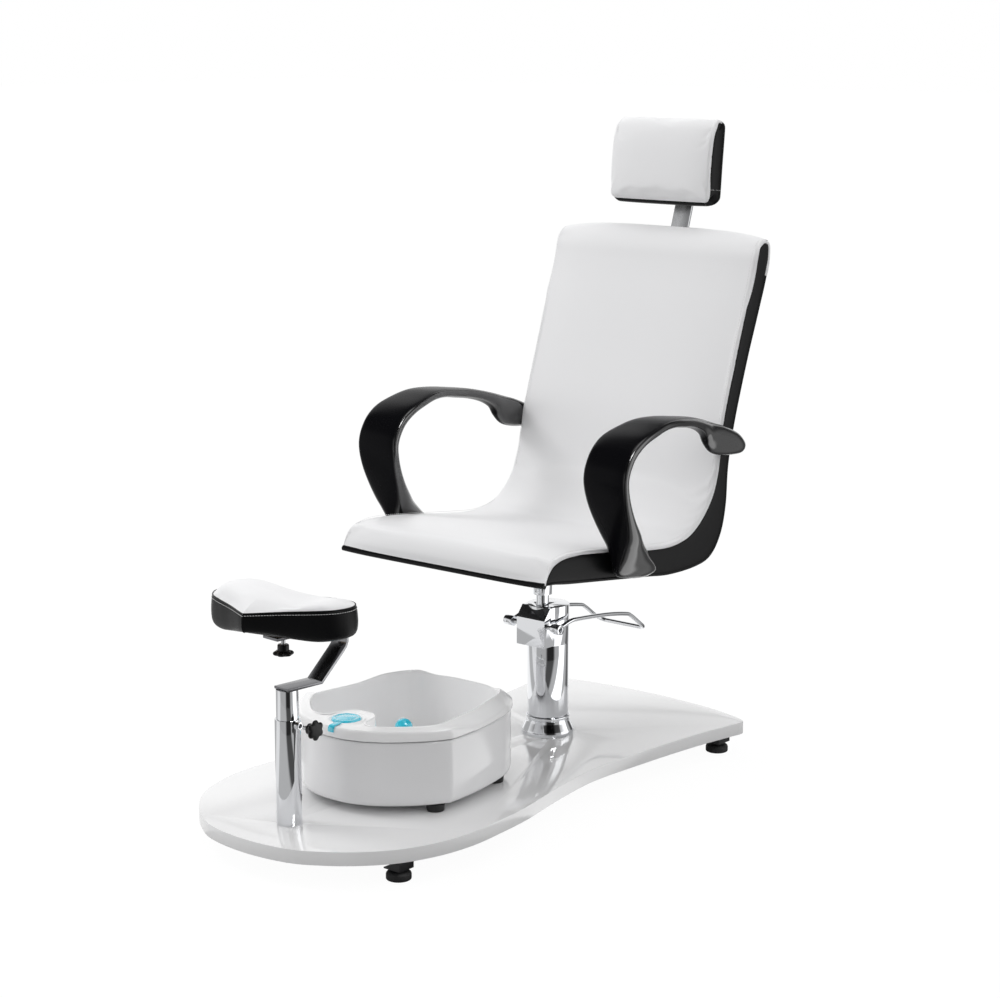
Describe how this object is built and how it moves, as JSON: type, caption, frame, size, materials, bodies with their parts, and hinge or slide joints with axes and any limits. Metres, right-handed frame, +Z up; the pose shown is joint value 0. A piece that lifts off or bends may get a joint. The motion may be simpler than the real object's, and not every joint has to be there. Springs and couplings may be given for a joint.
{
  "type": "pedicure chair",
  "caption": "Pedicure chair: padded seat on a hydraulic column, loop armrests, sliding headrest, footrest on a post and a foot basin, on a glossy platform board.",
  "frame": {"origin": "centre of the object's box at floor level, under the foot pads", "axes": "+Z up; the sitter faces -Y, so the footrest is at -Y and the back at +Y; +X is the sitter's left"},
  "size_m": [0.6614, 1.294, 1.26],
  "materials": {
    "board_white": "high gloss",
    "chrome": "polished",
    "steel_dark": "satin",
    "zinc": "zinc plated",
    "brass": "machined",
    "rubber_black": "matt",
    "leather_white": "soft sheen",
    "leather_black": "soft sheen",
    "plywood": "raw",
    "plastic_black": "satin",
    "knob_black": "satin",
    "basin_white": "gloss",
    "cyan": "translucent",
    "nylon": "matt"
  },
  "bodies": {
    "base": {"deck": "board_white", "foot_brackets": "steel_dark", "bracket_screws": "zinc", "foot_studs": "zinc", "foot_locknuts": "zinc", "foot_pads": "rubber_black", "pump_base_plate": "steel_dark", "pump_base_ring": "chrome", "pump_column": "chrome", "pump_bolts": "zinc", "lift_cylinder": "steel_dark", "rod_gland": "brass", "pump_head": "chrome", "footrest_post": "chrome", "post_plug": "nylon", "post_bolt": "zinc"},
    "ram": {"lift_rod": "chrome"},
    "seat": {"seat_socket": "chrome", "socket_screw": "zinc", "seat_plate": "steel_dark", "seat_bolts": "zinc", "seat_core": "plywood", "seat_pad": "leather_white", "back_cover": "leather_black", "side_panel_left": "leather_black", "side_panel_right": "leather_black", "armrest_left": "plastic_black", "armrest_right": "plastic_black", "armrest_bolts": "zinc", "headrest_guide": "plastic_black", "guide_screws": "zinc"},
    "guide_knob": {"guide_knob": "knob_black"},
    "headrest_bar": {"headrest_bar": "chrome", "headrest_yoke": "steel_dark", "headrest_pin": "zinc"},
    "headrest": {"headrest_backplate": "steel_dark", "headrest_pad": "leather_white", "headrest_shell": "leather_black"},
    "pedal": {"pedal_shaft": "zinc", "pedal_bosses": "chrome", "boss_screws": "zinc", "pedal_lever": "chrome"},
    "plunger": {"pump_plunger": "brass"},
    "mast_glide": {"mast_glide": "nylon"},
    "footrest_arm": {"mast_tube": "chrome", "mast_cap": "chrome", "footrest_arm": "chrome"},
    "footrest_cushion": {"footrest_board": "plywood", "footrest_band": "leather_black", "footrest_cushion": "leather_white"},
    "footrest_knob": {"footrest_knob": "knob_black"},
    "post_knob": {"post_knob": "knob_black"},
    "basin": {"basin_shell": "basin_white", "basin_tub": "basin_white", "basin_feet": "rubber_black", "bubble_pump": "steel_dark", "massage_dome": "cyan", "dial_lens": "cyan"},
    "control_dial": {"control_dial": "cyan"}
  },
  "joints": [
    {"name": "seat_lift", "type": "slide", "parent": "base", "child": "ram", "axis": [0, 0, 1], "range_m": [0, 0.12]},
    {"name": "seat_swivel", "type": "hinge", "parent": "ram", "child": "seat", "pos_m": [0, 0.17295, 0.365], "axis": [0, 0, 1], "continuous": true},
    {"name": "guide_knob_turn", "type": "hinge", "parent": "seat", "child": "guide_knob", "pos_m": [0, 0.5999, 0.94888], "axis": [0, 0.9515, -0.3075], "range_deg": [0, 360]},
    {"name": "headrest_slide", "type": "slide", "parent": "seat", "child": "headrest_bar", "axis": [0, 0.3075, 0.9515], "range_m": [-0.035, 0.06]},
    {"name": "headrest_tilt", "type": "hinge", "parent": "headrest_bar", "child": "headrest", "pos_m": [0, 0.62408, 1.16694], "axis": [1, 0, 0], "range_deg": [-15, 15]},
    {"name": "pedal_pivot", "type": "hinge", "parent": "base", "child": "pedal", "pos_m": [0, 0.14495, 0.2925], "axis": [1, 0, 0], "range_deg": [-20, 0], "stiffness_Nm_per_rad": 6, "springref_deg": 14.32},
    {"name": "plunger_stroke", "type": "slide", "parent": "base", "child": "plunger", "axis": [0, 0, 1], "range_m": [-0.002, 0]},
    {"name": "footrest_height", "type": "slide", "parent": "base", "child": "mast_glide", "axis": [0, 0, 1], "range_m": [0, 0.1]},
    {"name": "footrest_swivel", "type": "hinge", "parent": "mast_glide", "child": "footrest_arm", "pos_m": [0, -0.53505, 0.165], "axis": [0, 0, 1], "continuous": true},
    {"name": "cushion_slide", "type": "slide", "parent": "footrest_arm", "child": "footrest_cushion", "axis": [0.0872, 0.9962, 0], "range_m": [-0.016, 0.05]},
    {"name": "footrest_knob_turn", "type": "hinge", "parent": "footrest_cushion", "child": "footrest_knob", "pos_m": [-0.00061, -0.54202, 0.385], "axis": [0, 0, -1], "range_deg": [0, 360]},
    {"name": "post_knob_turn", "type": "hinge", "parent": "base", "child": "post_knob", "pos_m": [0.06, -0.53505, 0.248], "axis": [1, 0, 0], "range_deg": [0, 360]},
    {"name": "basin_slide", "type": "slide", "parent": "base", "child": "basin", "axis": [1, 0, 0], "range_m": [-0.09, 0.09]},
    {"name": "dial_turn", "type": "hinge", "parent": "basin", "child": "control_dial", "pos_m": [0, -0.38705, 0.215], "axis": [0, 0, 1], "range_deg": [-135, 135]}
  ],
  "couplings": [
    {"joint": "plunger_stroke", "follows": "pedal_pivot", "m_per_rad": 0.005}
  ]
}
